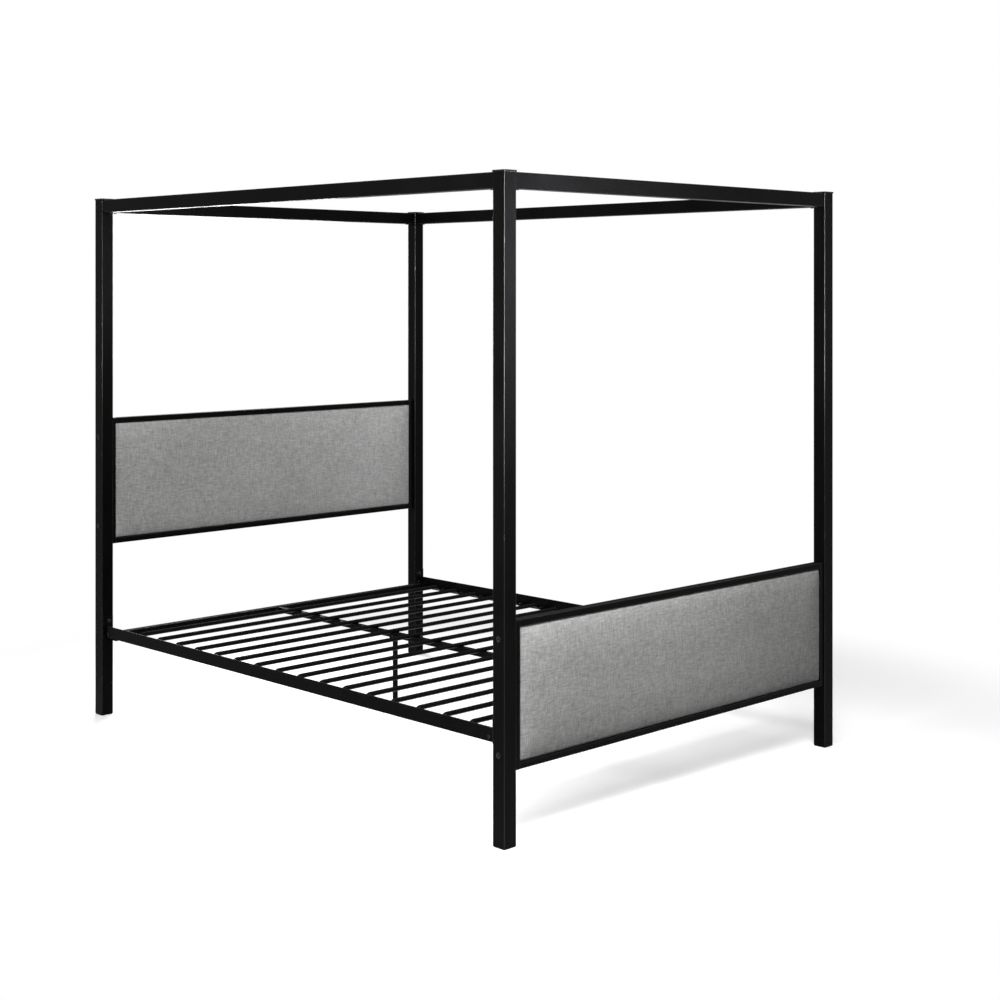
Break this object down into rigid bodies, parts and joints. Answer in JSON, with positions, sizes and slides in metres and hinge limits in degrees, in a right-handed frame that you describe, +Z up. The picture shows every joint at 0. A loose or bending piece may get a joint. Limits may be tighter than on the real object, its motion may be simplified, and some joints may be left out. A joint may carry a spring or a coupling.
{
  "type": "four poster canopy bed",
  "caption": "Canopy bed of square steel posts and rails with upholstered head and foot panels in dark frames and a slatted base that carries a mattress.",
  "frame": {"origin": "on the floor under the middle of the bed", "axes": "+Z up, +Y along the bed from the foot to the head, +X across the bed"},
  "size_m": [1.5622, 2.1336, 1.8733],
  "materials": {
    "black_steel": "satin black powder coat",
    "black_plastic": "matt black",
    "grey_fabric": "heathered linen weave",
    "pad_foam": "open-cell foam",
    "panel_board": "raw board",
    "dust_cloth": "thin black non-woven cloth",
    "fastener_steel": "blackened steel"
  },
  "bodies": {
    "root": {"bracket_bolts": "fastener_steel", "canopy_rail_foot": "black_steel", "canopy_rail_head": "black_steel", "canopy_rail_left": "black_steel", "canopy_rail_right": "black_steel", "canopy_screws": "fastener_steel", "canopy_spigots": "black_steel", "centre_rail": "black_steel", "centre_rail_screws": "fastener_steel", "cross_rail_foot": "black_steel", "cross_rail_head": "black_steel", "dust_covers": "dust_cloth", "footboard_board": "panel_board", "footboard_bottom_tube": "black_steel", "footboard_cover": "grey_fabric", "footboard_foam": "pad_foam", "footboard_left_stile": "black_steel", "footboard_right_stile": "black_steel", "footboard_top_tube": "black_steel", "headboard_board": "panel_board", "headboard_bottom_tube": "black_steel", "headboard_cover": "grey_fabric", "headboard_foam": "pad_foam", "headboard_left_stile": "black_steel", "headboard_right_stile": "black_steel", "headboard_top_tube": "black_steel", "leg_bolts": "fastener_steel", "leg_feet": "black_plastic", "panel_bolts": "fastener_steel", "panel_screws": "fastener_steel", "post_caps": "black_plastic", "post_foot_left": "black_steel", "post_foot_right": "black_steel", "post_glides": "black_plastic", "post_head_left": "black_steel", "post_head_right": "black_steel", "rail_bolts": "fastener_steel", "rail_brackets": "black_steel", "side_rail_left": "black_steel", "side_rail_right": "black_steel", "slat_01": "black_steel", "slat_02": "black_steel", "slat_03": "black_steel", "slat_04": "black_steel", "slat_05": "black_steel", "slat_06": "black_steel", "slat_07": "black_steel", "slat_08": "black_steel", "slat_09": "black_steel", "slat_10": "black_steel", "slat_11": "black_steel", "slat_12": "black_steel", "slat_13": "black_steel", "slat_14": "black_steel", "slat_15": "black_steel", "slat_16": "black_steel", "slat_screws": "fastener_steel", "support_leg_foot": "black_steel", "support_leg_head": "black_steel"}
  },
  "joints": []
}
